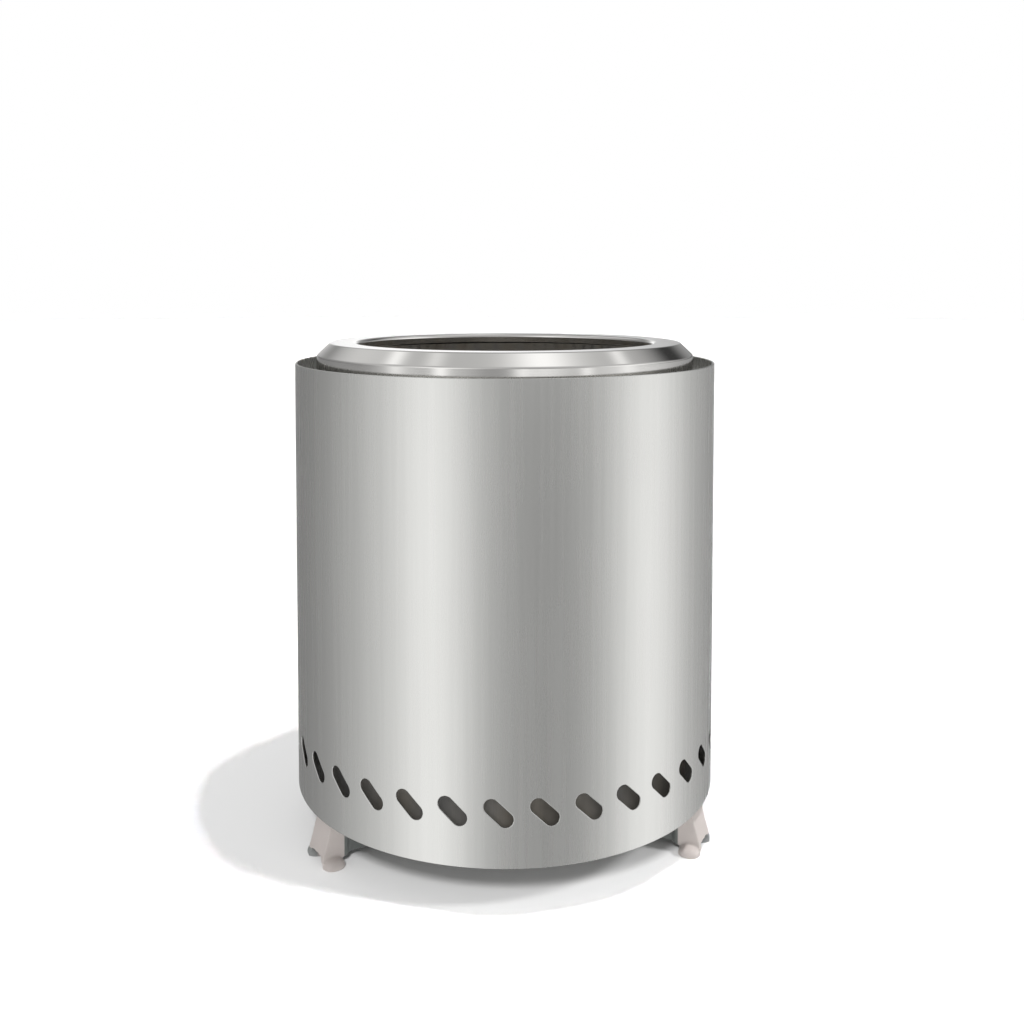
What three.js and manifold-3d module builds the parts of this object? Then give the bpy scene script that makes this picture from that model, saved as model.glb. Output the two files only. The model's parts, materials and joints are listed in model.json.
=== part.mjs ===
// Portable wood stove: a double-walled steel drum with a lift-off fire ring, a lift-out grate and ash pan,
// and a stand of three arms that fold together.
// Millimetres, +Z up, the front faces -Y. The origin is on the ground under the middle of the drum.

import * as THREE from "three";
import { mergeVertices } from "three/addons/utils/BufferGeometryUtils.js";
import Module from "manifold-3d";

const wasm = await Module();
wasm.setup();

// Fits shared by all pieces.
const SEAT_GAP = 0.3;
const CUT_OVERRUN = 2;

// Drum.
const DRUM_RADIUS = 90;
const DRUM_HEIGHT = 180;
const DRUM_SHEET = 0.8;
const STAND_HEIGHT = 18;

// Slanted air slots around the foot of the drum.
const SLOT_COUNT = 33;
const SLOT_LENGTH = 12.9;
const SLOT_WIDTH = 5.9;
const SLOT_SLANT = 43;
const SLOT_RISE = 20.8;

// Burn chamber inside the drum.
const WALL_SPACE = 9.8;
const CHAMBER_SHEET = 0.8;
const CHAMBER_LIP = 4;
const JET_COUNT = 36;
const JET_DIAMETER = 5;
const JET_DROP = 11;
const INTAKE_COUNT = 24;
const INTAKE_DIAMETER = 7;
const INTAKE_DROP = 9;

// Flange that closes the space between the walls, below the rim.
const FLANGE_DEPTH = 9;
const FLANGE_SHEET = 1;
const FLANGE_SKIRT = 6;

// Dished base plate.
const BASE_SHEET = 1;
const BASE_RIM = 8;
const BASE_RING_WIDTH = 27;
const BASE_RAMP_RUN = 5;
const BASE_DISH = 4;

// Heat shield, on riveted standoffs over the raised middle of the base plate.
const SHIELD_SHEET = 0.8;
const SHIELD_SPACE = 7;
const SHIELD_MARGIN = 6;
const SHIELD_RIM = 3;
const STANDOFF_COUNT = 3;
const STANDOFF_INSET = 12.9;
const STANDOFF_RADIUS = 3.6;
const SHIELD_SHANK_RADIUS = 1.6;
const SHIELD_HEAD_RADIUS = 3.2;
const SHIELD_HEAD_HEIGHT = 1.2;

// Fire ring: a spun band, a bevel, a flat top and a hem around its mouth.
const RING_SHEET = 1;
const RING_PLAY = 0.8;
const RING_BAND_RISE = 3.1;
const RING_BEVEL_RISE = 5.2;
const RING_BEVEL_RUN = 5.7;
const RING_TOP_WIDTH = 11.5;
const RING_HEM = 4;

// Ash pan, hung by its flange from the ledge in the burn chamber.
const LIFT_CLEARANCE = 2.5;
const PAN_SHEET = 0.8;
const PAN_FLANGE = 7.5;
const PAN_DEPTH = 18;
const PAN_AIR_SPACE = 7;
const PAN_BOTTOM_BEVEL = 3;
const PAN_PLAY = 1.5;
const PAN_SLOT_COUNT = 12;
const PAN_SLOT_LENGTH = 15;
const PAN_SLOT_WIDTH = 5;
const LEDGE_SHEET = 1;
const LEDGE_SKIRT = 6;
const LEDGE_LIP = 2.5;

// Fire grate, lying on the pan's flange.
const GRATE_SHEET = 1.5;
const GRATE_INSET = 0.5;
const GRATE_RINGS = 4;
const GRATE_HOLE_DIAMETER = 6.5;
const GRATE_EDGE = 9;

// Stand arms: folded steel channels, each with a leg and two toes.
const ARM_SHEET = 1.5;
const ARM_FACE_INSET = 2.8;
const ARM_FACE_LEAN = 4.4;
const ARM_NECK_START = 32;
const ARM_JOGGLE_RUN = 8;
const ARM_NECK_WIDTH = 7.4;
const ARM_NECK_DEPTH = 5;
const ARM_KEEL_START = 70;
const ARM_SHOULDER_WIDTH = 9;
const ARM_SHOULDER_RUN = 2;
const LEG_LENGTH = 6.5;
const LEG_WIDTH = 13.5;
const LEG_FOOT_HEIGHT = 2.6;
const ARCH_HEIGHT = 4.4;
const ARCH_CORNER = 2.2;
const TOE_LENGTH = 8.6;
const TOE_REACH = 3.65;
const TOE_HEIGHT = 1.4;
const TOE_FLARE = 2;
const TOE_CORNER = 2;
const TAB_THICKNESS = 1.5;
const TAB_WIDTH = 6;
const TAB_HEIGHT = 3;
const TAB_PLAY = 1;

// Pivot of the stand.
const PIVOT_EYE_RADIUS = 6;
const PIVOT_SHANK_RADIUS = 2.5;
const PIVOT_HEAD_RADIUS = 5.2;
const PIVOT_HEAD_HEIGHT = 1.4;
const PIVOT_HEAD_BEVEL = 0.5;
const PIVOT_WASHER_RADIUS = 5.6;
const PIVOT_WASHER_SHEET = 0.5;
const PIVOT_PLAY = 0.4;
const ARM_TURN = 120;

// Facets.
const DRUM_SEGMENTS = 66;
const CHAMBER_SEGMENTS = 48;
const PAN_SEGMENTS = 36;
const RIVET_SEGMENTS = 12;
const HOLE_SEGMENTS = 6;
const ARC_SEGMENTS = 2;

// Radii worked out from the outside in.
const drumBore = DRUM_RADIUS - DRUM_SHEET;
const chamberRadius = drumBore - WALL_SPACE;
const chamberBore = chamberRadius - CHAMBER_SHEET;
const ringRadius = chamberRadius + RING_PLAY + RING_SHEET;
const ringTopRadius = ringRadius - RING_BEVEL_RUN;
const ringMouth = ringTopRadius - RING_TOP_WIDTH;
const panFlangeRadius = ringMouth - LIFT_CLEARANCE;
const panRadius = panFlangeRadius - PAN_FLANGE;
const ledgeMouth = panRadius + PAN_PLAY;
const grateRadius = panFlangeRadius - GRATE_INSET;
const shieldRadius = chamberBore - SHIELD_MARGIN;
const baseRadius = drumBore - SEAT_GAP;
const baseDishRadius = baseRadius - BASE_RING_WIDTH - BASE_RAMP_RUN;
const standoffCircle = baseDishRadius - STANDOFF_INSET;

// Heights worked out from the ground up.
const drumBottom = STAND_HEIGHT;
const rimHeight = drumBottom + DRUM_HEIGHT;
const flangeTop = rimHeight - FLANGE_DEPTH;
const baseRingTop = drumBottom + BASE_SHEET;
const baseDishBottom = drumBottom + BASE_DISH;
const baseDishTop = baseDishBottom + BASE_SHEET;
const shieldBottom = baseDishTop + SHIELD_SPACE;
const shieldTop = shieldBottom + SHIELD_SHEET;
const panBottom = shieldTop + PAN_AIR_SPACE;
const panFlangeBottom = panBottom + PAN_DEPTH;
const ledgeTop = panFlangeBottom - SEAT_GAP;
const grateBottom = panFlangeBottom + PAN_SHEET + SEAT_GAP;
const chamberBottom = baseRingTop + SEAT_GAP;
const chamberTop = flangeTop + CHAMBER_LIP;
const armTop = drumBottom - SEAT_GAP;
const armLevelStep = ARM_SHEET + PIVOT_WASHER_SHEET + SEAT_GAP + SEAT_GAP;

const radians = THREE.MathUtils.degToRad;
const at = (x, y) => new THREE.Vector2(x, y);

// A geometry with its vertices merged and its flattened triangles left out.
function welded(geometry) {
  geometry.deleteAttribute("normal");
  geometry.deleteAttribute("uv");
  const merged = mergeVertices(geometry);
  const corners = Array.from(merged.index.array);
  const kept = [];
  for (let first = 0; first < corners.length; first += 3) {
    const [a, b, c] = corners.slice(first, first + 3);
    if (a !== b && b !== c && c !== a) kept.push(a, b, c);
  }
  merged.setIndex(kept);
  return merged;
}

function toSolid(geometry) {
  const closed = welded(geometry);
  const vertProperties = new Float32Array(closed.attributes.position.array);
  const triVerts = new Uint32Array(closed.index.array);
  return new wasm.Manifold(new wasm.Mesh({ numProp: 3, vertProperties, triVerts }));
}

function toGeometry(solid) {
  const { vertProperties, triVerts } = solid.getMesh();
  const geometry = new THREE.BufferGeometry();
  geometry.setAttribute("position", new THREE.BufferAttribute(vertProperties, 3));
  geometry.setIndex(new THREE.BufferAttribute(triVerts, 1));
  return geometry;
}

function cut(solid, cutters) {
  return cutters.reduce((rest, cutter) => rest.subtract(cutter), solid);
}

function join(solids) {
  return solids.reduce((sum, solid) => sum.add(solid));
}

// The line beside a path at a distance to its left, with mitred corners.
function beside(path, distance) {
  const last = path.length - 1;
  return path.map((here, index) => {
    const ahead = path[Math.min(index + 1, last)].clone().sub(path[Math.min(index, last - 1)]).normalize();
    const behind = path[Math.max(index, 1)].clone().sub(path[Math.max(index - 1, 0)]).normalize();
    const along = ahead.clone().add(behind).normalize();
    const left = at(-along.y, along.x);
    const mitre = distance / left.dot(at(-ahead.y, ahead.x));
    return here.clone().addScaledVector(left, mitre);
  });
}

// The outline of a sheet that follows a path, with its thickness to the left of it.
function sheetOutline(path, sheet) {
  return [...path, ...beside(path, sheet).reverse()];
}

// A round piece, turned about Z from an outline of radius and height that runs anticlockwise.
function turned(outline, segments) {
  return new THREE.LatheGeometry([...outline, outline[0]], segments).rotateX(radians(90));
}

function extruded(shape, depth) {
  return new THREE.ExtrudeGeometry(shape, { depth, bevelEnabled: false, curveSegments: ARC_SEGMENTS });
}

// A bar with round ends, drawn about its middle and leaning down to the right by the slant.
function slotShape(length, width, slant) {
  const reach = (length - width) / 2;
  const round = width / 2;
  const shape = new THREE.Shape();
  const lean = -radians(slant);
  const endX = reach * Math.cos(lean);
  const endY = reach * Math.sin(lean);
  shape.absarc(endX, endY, round, lean - radians(90), lean + radians(90), false);
  shape.absarc(-endX, -endY, round, lean + radians(90), lean + radians(270), false);
  return shape;
}

function discShape(radius) {
  const shape = new THREE.Shape();
  for (let corner = 0; corner < HOLE_SEGMENTS; corner += 1) {
    const angle = radians((360 * (corner + 1 / 2)) / HOLE_SEGMENTS);
    const place = [radius * Math.cos(angle), radius * Math.sin(angle)];
    if (corner === 0) shape.moveTo(...place);
    else shape.lineTo(...place);
  }
  return shape;
}

// The frame of a spot on a round wall: X to the right as seen from outside, Y up and Z outwards.
// The azimuth is counted from the front, towards +X.
function wallFrame(azimuth, radius, height) {
  const turn = radians(azimuth);
  const right = new THREE.Vector3(Math.cos(turn), Math.sin(turn), 0);
  const up = new THREE.Vector3(0, 0, 1);
  const out = new THREE.Vector3(Math.sin(turn), -Math.cos(turn), 0);
  const place = out.clone().multiplyScalar(radius).setZ(height);
  return new THREE.Matrix4().makeBasis(right, up, out).setPosition(place);
}

// Evenly spaced cutters through a round wall, the first half a step right of the front.
function wallCutters(shape, count, bore, sheet, height) {
  const depth = sheet + CUT_OVERRUN + CUT_OVERRUN;
  return Array.from({ length: count }, (unused, index) => {
    const azimuth = ((index + 1 / 2) * 360) / count;
    const frame = wallFrame(azimuth, bore - CUT_OVERRUN, height);
    return toSolid(extruded(shape, depth).applyMatrix4(frame));
  });
}

// A cutter for an upright hole through a level sheet.
function holeCutter(x, y, radius, bottom, sheet) {
  const depth = sheet + CUT_OVERRUN + CUT_OVERRUN;
  return toSolid(extruded(discShape(radius), depth).translate(x, y, bottom - CUT_OVERRUN));
}

function steel(color, roughness) {
  return new THREE.MeshStandardMaterial({ color, roughness, metalness: 1 });
}

const brushedSteel = () => steel(0xb9b9b5, 0.34);
const spunSteel = () => steel(0xc9c8c4, 0.22);
const chamberSteel = () => steel(0x8d8a84, 0.42);
const baseSteel = () => steel(0x8f908e, 0.45);
const rivetSteel = () => steel(0xa7a6a2, 0.35);
const standSteel = () => new THREE.MeshStandardMaterial({ color: 0xb9aea8, roughness: 0.55, metalness: 0.35 });

function piece(name, geometry, material) {
  const mesh = new THREE.Mesh(welded(geometry), material);
  mesh.name = name;
  return mesh;
}

// Drum.
function outerWall() {
  const path = [at(DRUM_RADIUS, drumBottom), at(DRUM_RADIUS, rimHeight)];
  const tube = toSolid(turned(sheetOutline(path, DRUM_SHEET), DRUM_SEGMENTS));
  const slot = slotShape(SLOT_LENGTH, SLOT_WIDTH, SLOT_SLANT);
  const slots = wallCutters(slot, SLOT_COUNT, drumBore, DRUM_SHEET, drumBottom + SLOT_RISE);
  return piece("outer_wall", toGeometry(cut(tube, slots)), brushedSteel());
}

// Burn chamber, with jets under the flange and air intakes under the ledge.
function innerWall() {
  const path = [at(chamberRadius, chamberBottom), at(chamberRadius, chamberTop)];
  const tube = toSolid(turned(sheetOutline(path, CHAMBER_SHEET), CHAMBER_SEGMENTS));
  const jet = discShape(JET_DIAMETER / 2);
  const jets = wallCutters(jet, JET_COUNT, chamberBore, CHAMBER_SHEET, flangeTop - JET_DROP);
  const intake = discShape(INTAKE_DIAMETER / 2);
  const intakes = wallCutters(intake, INTAKE_COUNT, chamberBore, CHAMBER_SHEET, ledgeTop - INTAKE_DROP);
  return piece("inner_wall", toGeometry(cut(tube, [...jets, ...intakes])), chamberSteel());
}

function airFlange() {
  const outside = drumBore - SEAT_GAP;
  const inside = chamberRadius + SEAT_GAP;
  const skirtEnd = flangeTop - FLANGE_SKIRT;
  const path = [at(outside, skirtEnd), at(outside, flangeTop), at(inside, flangeTop), at(inside, skirtEnd)];
  return piece("air_flange", turned(sheetOutline(path, FLANGE_SHEET), CHAMBER_SEGMENTS), baseSteel());
}

// The places of the standoffs, as X and Y.
function standoffPlaces() {
  return Array.from({ length: STANDOFF_COUNT }, (unused, index) => {
    const angle = radians((360 * (index + 1 / 2)) / STANDOFF_COUNT);
    return [standoffCircle * Math.sin(angle), -standoffCircle * Math.cos(angle)];
  });
}

function standoffHoles(bottom, sheet) {
  const radius = SHIELD_SHANK_RADIUS + SEAT_GAP;
  return standoffPlaces().map(([x, y]) => holeCutter(x, y, radius, bottom, sheet));
}

function basePlate() {
  const path = [
    at(0, baseDishBottom),
    at(baseDishRadius, baseDishBottom),
    at(baseDishRadius + BASE_RAMP_RUN, drumBottom),
    at(baseRadius, drumBottom),
    at(baseRadius, drumBottom + BASE_RIM),
  ];
  const plate = toSolid(turned(sheetOutline(path, BASE_SHEET), CHAMBER_SEGMENTS));
  const holes = standoffHoles(baseDishBottom, BASE_SHEET);
  return piece("base_plate", toGeometry(cut(plate, holes)), baseSteel());
}

function heatShield() {
  const path = [at(shieldRadius, shieldTop - SHIELD_RIM), at(shieldRadius, shieldTop), at(0, shieldTop)];
  const plate = toSolid(turned(sheetOutline(path, SHIELD_SHEET), PAN_SEGMENTS));
  const holes = standoffHoles(shieldBottom, SHIELD_SHEET);
  return piece("heat_shield", toGeometry(cut(plate, holes)), chamberSteel());
}

// A tube around each shield rivet, with a seat gap at both ends.
function shieldStandoff(name, x, y) {
  const bottom = baseDishTop + SEAT_GAP;
  const top = shieldBottom - SEAT_GAP;
  const path = [at(STANDOFF_RADIUS, bottom), at(STANDOFF_RADIUS, top)];
  const tubeWall = STANDOFF_RADIUS - SHIELD_SHANK_RADIUS - SEAT_GAP;
  const mesh = piece(name, turned(sheetOutline(path, tubeWall), RIVET_SEGMENTS), rivetSteel());
  mesh.position.set(x, y, 0);
  return mesh;
}

// A rivet outline between its lower and upper seats, with a bevelled head beyond each of them.
function rivetOutline(lowerSeat, upperSeat, shank, head, headHeight, headBevel) {
  const bottom = lowerSeat - headHeight;
  const top = upperSeat + headHeight;
  return [
    at(0, bottom),
    at(head - headBevel, bottom),
    at(head, bottom + headBevel),
    at(head, lowerSeat),
    at(shank, lowerSeat),
    at(shank, upperSeat),
    at(head, upperSeat),
    at(head, top - headBevel),
    at(head - headBevel, top),
    at(0, top),
  ];
}

function shieldRivet(name, x, y) {
  const lowerSeat = baseDishBottom - SEAT_GAP;
  const upperSeat = shieldTop + SEAT_GAP;
  const bevel = SHIELD_HEAD_HEIGHT / 3;
  const outline = rivetOutline(
    lowerSeat, upperSeat, SHIELD_SHANK_RADIUS, SHIELD_HEAD_RADIUS, SHIELD_HEAD_HEIGHT, bevel,
  );
  const mesh = piece(name, turned(outline, RIVET_SEGMENTS), rivetSteel());
  mesh.position.set(x, y, 0);
  return mesh;
}

// The ledge is a ring with its skirt against the burn chamber and a lip around its mouth.
function grateLedge() {
  const outside = chamberBore - SEAT_GAP;
  const path = [
    at(outside, ledgeTop - LEDGE_SKIRT),
    at(outside, ledgeTop),
    at(ledgeMouth, ledgeTop),
    at(ledgeMouth, ledgeTop - LEDGE_LIP),
  ];
  return piece("grate_ledge", turned(sheetOutline(path, LEDGE_SHEET), CHAMBER_SEGMENTS), chamberSteel());
}

function fireRing() {
  const bandTop = rimHeight + RING_BAND_RISE;
  const top = bandTop + RING_BEVEL_RISE;
  const path = [
    at(ringRadius, flangeTop + SEAT_GAP),
    at(ringRadius, bandTop),
    at(ringTopRadius, top),
    at(ringMouth, top),
    at(ringMouth, top - RING_HEM),
  ];
  return piece("fire_ring", turned(sheetOutline(path, RING_SHEET), CHAMBER_SEGMENTS), spunSteel());
}

function ashPan() {
  const path = [
    at(0, panBottom),
    at(panRadius - PAN_BOTTOM_BEVEL, panBottom),
    at(panRadius, panBottom + PAN_BOTTOM_BEVEL),
    at(panRadius, panFlangeBottom),
    at(panFlangeRadius, panFlangeBottom),
  ];
  const pan = toSolid(turned(sheetOutline(path, PAN_SHEET), PAN_SEGMENTS));
  const slot = slotShape(PAN_SLOT_LENGTH, PAN_SLOT_WIDTH, 0);
  const middle = (panBottom + PAN_BOTTOM_BEVEL + panFlangeBottom) / 2;
  const slots = wallCutters(slot, PAN_SLOT_COUNT, panRadius - PAN_SHEET, PAN_SHEET, middle);
  return piece("ash_pan", toGeometry(cut(pan, slots)), chamberSteel());
}

// A flat disc with rings of holes, six more in each ring.
function fireGrate() {
  const outline = [
    at(0, grateBottom),
    at(grateRadius, grateBottom),
    at(grateRadius, grateBottom + GRATE_SHEET),
    at(0, grateBottom + GRATE_SHEET),
  ];
  const disc = toSolid(turned(outline, PAN_SEGMENTS));
  const ringStep = (grateRadius - GRATE_EDGE) / GRATE_RINGS;
  const hole = (x, y) => holeCutter(x, y, GRATE_HOLE_DIAMETER / 2, grateBottom, GRATE_SHEET);
  const holes = [hole(0, 0)];
  for (let ring = 1; ring <= GRATE_RINGS; ring += 1) {
    const count = 6 * ring;
    for (let index = 0; index < count; index += 1) {
      const angle = radians((360 * index) / count);
      holes.push(hole(ring * ringStep * Math.sin(angle), -ring * ringStep * Math.cos(angle)));
    }
  }
  return piece("fire_grate", toGeometry(cut(disc, holes)), chamberSteel());
}

// An arm is drawn along X from the pivot outwards, its sides along Y, and then turned to its azimuth.
// Its plan is a round eye, a narrow tongue and a channel that steps out to the leg at its shoulders.
function armPlan(inset) {
  const neck = ARM_NECK_WIDTH / 2 - inset;
  const shoulder = ARM_SHOULDER_WIDTH / 2 - inset;
  const leg = LEG_WIDTH / 2 - inset;
  const eye = PIVOT_EYE_RADIUS;
  const reach = armFaceFoot + CUT_OVERRUN;
  const eyeAngle = Math.asin(neck / eye);
  const shape = new THREE.Shape();
  shape.absarc(0, 0, eye, eyeAngle, radians(360) - eyeAngle, false);
  shape.lineTo(ARM_NECK_START, -neck);
  shape.lineTo(armLegStart - ARM_SHOULDER_RUN, -shoulder);
  shape.lineTo(armLegStart, -leg);
  shape.lineTo(reach, -leg);
  shape.lineTo(reach, leg);
  shape.lineTo(armLegStart, leg);
  shape.lineTo(armLegStart - ARM_SHOULDER_RUN, shoulder);
  shape.lineTo(ARM_NECK_START, neck);
  return shape;
}

const armFaceTop = DRUM_RADIUS - ARM_FACE_INSET;
const armFaceFoot = armFaceTop + ARM_FACE_LEAN;
const armLegStart = armFaceTop - LEG_LENGTH;
const armChannelStart = ARM_NECK_START + ARM_JOGGLE_RUN;

function shapeOf(points) {
  return new THREE.Shape(points);
}

// A side view in X and Z, given a width along Y about the middle of the arm.
function acrossArm(shape, width) {
  return toSolid(extruded(shape, width).rotateX(radians(90)).translate(0, width / 2, 0));
}

// An end view in Y and Z, given a length along X from its start.
function alongArm(shape, start, length) {
  return toSolid(extruded(shape, length).rotateX(radians(90)).rotateZ(radians(90)).translate(start, 0, 0));
}

// A plan view in X and Y, made as tall as the stand.
function upArm(shape) {
  return toSolid(extruded(shape, STAND_HEIGHT + CUT_OVERRUN));
}

// The eye, tongue, web and outer face are one strip, stepped down to its own level at the pivot.
function armStrip(level) {
  const tongueTop = armTop - level * armLevelStep;
  const joggle = level === 0 ? [] : [at(ARM_NECK_START, tongueTop)];
  const path = [
    at(-PIVOT_EYE_RADIUS - CUT_OVERRUN, tongueTop),
    ...joggle,
    at(armChannelStart, armTop),
    at(armFaceTop, armTop),
    at(armFaceFoot, LEG_FOOT_HEIGHT),
  ];
  const strip = acrossArm(shapeOf(sheetOutline(path, -ARM_SHEET)), LEG_WIDTH);
  return strip.intersect(upArm(armPlan(0)));
}

// Both cheeks hang from the web: shallow at the neck, and down to the toes from the keel outwards.
function armCheeks() {
  const side = shapeOf([
    at(armChannelStart, armTop),
    at(armChannelStart, armTop - ARM_NECK_DEPTH),
    at(ARM_KEEL_START, LEG_FOOT_HEIGHT),
    at(armFaceFoot, LEG_FOOT_HEIGHT),
    at(armFaceTop, armTop),
  ]);
  const block = acrossArm(side, LEG_WIDTH);
  return block.intersect(upArm(armPlan(0)).subtract(upArm(armPlan(ARM_SHEET))));
}

// The plan of a toe: a rounded pad about the middle of its spot.
function toePlan() {
  const halfLength = TOE_LENGTH / 2 - TOE_CORNER;
  const halfWidth = (ARM_SHEET + TOE_REACH) / 2 - TOE_CORNER;
  const shape = new THREE.Shape();
  shape.absarc(halfLength, halfWidth, TOE_CORNER, 0, radians(90), false);
  shape.absarc(-halfLength, halfWidth, TOE_CORNER, radians(90), radians(180), false);
  shape.absarc(-halfLength, -halfWidth, TOE_CORNER, radians(180), radians(270), false);
  shape.absarc(halfLength, -halfWidth, TOE_CORNER, radians(270), radians(360), false);
  return shape;
}

// A flat-bottomed toe along each cheek of the leg, which spreads to the ground from the cheek.
function toe(side) {
  const back = armFaceFoot - TOE_LENGTH;
  const cheek = (side * LEG_WIDTH) / 2;
  const inner = cheek - side * ARM_SHEET;
  const outer = cheek + side * TOE_REACH;
  const middle = (inner + outer) / 2;
  const top = TOE_HEIGHT + TOE_FLARE;
  const plan = toSolid(extruded(toePlan(), top).translate(back + TOE_LENGTH / 2, middle, 0));
  const spread = [
    at(inner, 0),
    at(outer, 0),
    at(outer, TOE_HEIGHT),
    at(cheek, top),
    at(inner, top),
  ];
  return plan.intersect(alongArm(shapeOf(spread), back - CUT_OVERRUN, TOE_LENGTH + CUT_OVERRUN + CUT_OVERRUN));
}

// A tab on the web that stands inside the dish of the base plate and keeps the drum centred.
function armTab() {
  const outer = baseDishRadius - TAB_PLAY;
  const tab = new THREE.BoxGeometry(TAB_THICKNESS, TAB_WIDTH, TAB_HEIGHT + ARM_SHEET);
  return toSolid(tab.translate(outer - TAB_THICKNESS / 2, 0, armTop + (TAB_HEIGHT - ARM_SHEET) / 2));
}

// The opening between the toes, under the outer face, with rounded upper corners.
function armArch() {
  const shape = new THREE.Shape();
  const half = LEG_WIDTH / 2 - ARM_SHEET;
  const spring = ARCH_HEIGHT - ARCH_CORNER;
  shape.moveTo(-half, -CUT_OVERRUN);
  shape.lineTo(half, -CUT_OVERRUN);
  shape.lineTo(half, spring);
  shape.absarc(half - ARCH_CORNER, spring, ARCH_CORNER, 0, radians(90), false);
  shape.absarc(ARCH_CORNER - half, spring, ARCH_CORNER, radians(90), radians(180), false);
  return alongArm(shape, armLegStart, LEG_LENGTH + ARM_FACE_LEAN + CUT_OVERRUN);
}

function standArm(name, azimuth, level) {
  const body = join([armStrip(level), armCheeks(), toe(1), toe(-1), armTab()]);
  const bore = PIVOT_SHANK_RADIUS + PIVOT_PLAY;
  const tongueBottom = armTop - level * armLevelStep - ARM_SHEET;
  const eye = holeCutter(0, 0, bore, tongueBottom, ARM_SHEET);
  const mesh = piece(name, toGeometry(cut(body, [armArch(), eye])), standSteel());
  mesh.rotation.z = radians(azimuth - 90);
  return mesh;
}

function pivotRivet() {
  const upperSeat = armTop + SEAT_GAP;
  const lowerSeat = armTop - 2 * armLevelStep - ARM_SHEET - SEAT_GAP;
  const outline = rivetOutline(
    lowerSeat, upperSeat, PIVOT_SHANK_RADIUS, PIVOT_HEAD_RADIUS, PIVOT_HEAD_HEIGHT, PIVOT_HEAD_BEVEL,
  );
  return piece("pivot_rivet", turned(outline, RIVET_SEGMENTS), rivetSteel());
}

// A washer lies under the tongue of the given level.
function pivotWasher(name, level) {
  const top = armTop - level * armLevelStep - ARM_SHEET - SEAT_GAP;
  const path = [at(PIVOT_WASHER_RADIUS, top - PIVOT_WASHER_SHEET), at(PIVOT_WASHER_RADIUS, top)];
  const width = PIVOT_WASHER_RADIUS - PIVOT_SHANK_RADIUS - PIVOT_PLAY;
  return piece(name, turned(sheetOutline(path, width), RIVET_SEGMENTS), rivetSteel());
}

const stove = new THREE.Group();
stove.add(outerWall(), innerWall(), airFlange(), basePlate(), heatShield(), grateLedge());
standoffPlaces().forEach(([x, y], index) => {
  stove.add(shieldStandoff(`shield_standoff_${index + 1}`, x, y));
  stove.add(shieldRivet(`shield_rivet_${index + 1}`, x, y));
});
stove.add(fireRing(), ashPan(), fireGrate());

const stand = new THREE.Group();
stand.add(standArm("stand_arm_left", -ARM_TURN / 2, 0));
stand.add(standArm("stand_arm_back", 180, 1));
stand.add(standArm("stand_arm_right", ARM_TURN / 2, 2));
stand.add(pivotRivet(), pivotWasher("pivot_washer_upper", 0), pivotWasher("pivot_washer_lower", 1));
stove.add(stand);

export default stove;
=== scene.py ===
"""A portable wood stove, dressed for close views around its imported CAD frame.

The sheet-metal pieces are outlines turned about the stove's axis, given their
thickness by Solidify and their rolled edges by Bevel. Walls with air holes start
as one flat cell around one hole, which is wrapped round the wall and repeated.
The stand's pressed arms are softened copies of the frame's own, on round pads.
"""

import json
import logging
import math
from collections.abc import Sequence
from dataclasses import dataclass, replace
from enum import Enum
from functools import partial, reduce

import bmesh
import bpy
from mathutils import Matrix, Vector


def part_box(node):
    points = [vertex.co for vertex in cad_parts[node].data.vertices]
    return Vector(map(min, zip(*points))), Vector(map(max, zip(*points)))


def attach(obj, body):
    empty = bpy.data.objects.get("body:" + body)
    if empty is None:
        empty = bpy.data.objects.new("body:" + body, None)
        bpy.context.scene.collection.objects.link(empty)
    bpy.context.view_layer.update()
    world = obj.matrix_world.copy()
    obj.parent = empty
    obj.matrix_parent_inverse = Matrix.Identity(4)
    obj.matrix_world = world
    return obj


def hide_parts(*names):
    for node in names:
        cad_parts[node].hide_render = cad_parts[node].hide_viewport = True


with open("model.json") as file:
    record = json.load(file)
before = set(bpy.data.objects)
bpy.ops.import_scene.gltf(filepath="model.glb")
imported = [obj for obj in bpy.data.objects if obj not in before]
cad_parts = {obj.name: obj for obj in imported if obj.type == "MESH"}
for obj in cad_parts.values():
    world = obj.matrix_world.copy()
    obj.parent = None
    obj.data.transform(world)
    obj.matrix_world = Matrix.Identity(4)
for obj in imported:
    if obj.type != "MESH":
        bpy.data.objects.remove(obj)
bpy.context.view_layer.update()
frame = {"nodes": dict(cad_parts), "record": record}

LOG = logging.getLogger("wood_stove")

MM = 0.001
FULL_TURN = 2 * math.pi
ORIGIN = Vector((0, 0, 0))
UP = Vector((0, 0, 1))
WITHOUT_HEIGHT = (1.0, 1.0, 0.0)
WHITE = (1.0, 1.0, 1.0, 1.0)
WELD_DISTANCE = 0.002 * MM
EVEN_PROFILE = 0.5
KEEP_MATERIAL = -1
SHARP_ANGLE = math.radians(38)
EDGE_FACETS = 2
SOFT_DETAIL = 1.0
PLAIN_DETAIL = 2.0
FINE_DETAIL = 3.0
BARE_METAL = 1.0
BELL_FALL = -0.5

Numbers = tuple[float, ...]
Socket = bpy.types.NodeSocket
Feed = float | Numbers | Vector | Socket
Mesh = bmesh.types.BMesh
Material = bpy.types.Material


class Slot(Enum):
    """The record's material slots."""

    BRUSHED = "brushed_stainless"
    SPUN = "spun_stainless"
    CHAMBER = "chamber_stainless"
    PRESSED = "pressed_steel"
    RIVET = "rivet_steel"
    COATING = "stand_coating"


class Body(Enum):
    """The bodies that the pieces ride on."""

    STOVE = "stove_body"
    RING = "fire_ring"
    PAN = "ash_pan"
    GRATE = "fire_grate"
    STAND = "stand"
    LEFT_ARM = "left_arm"
    RIGHT_ARM = "right_arm"


@dataclass(frozen=True)
class Bend:
    """A point of a sheet's outline, with the distance from it at which the sheet starts to turn."""

    radius: float
    height: float
    rounding: float = 0.0


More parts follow.
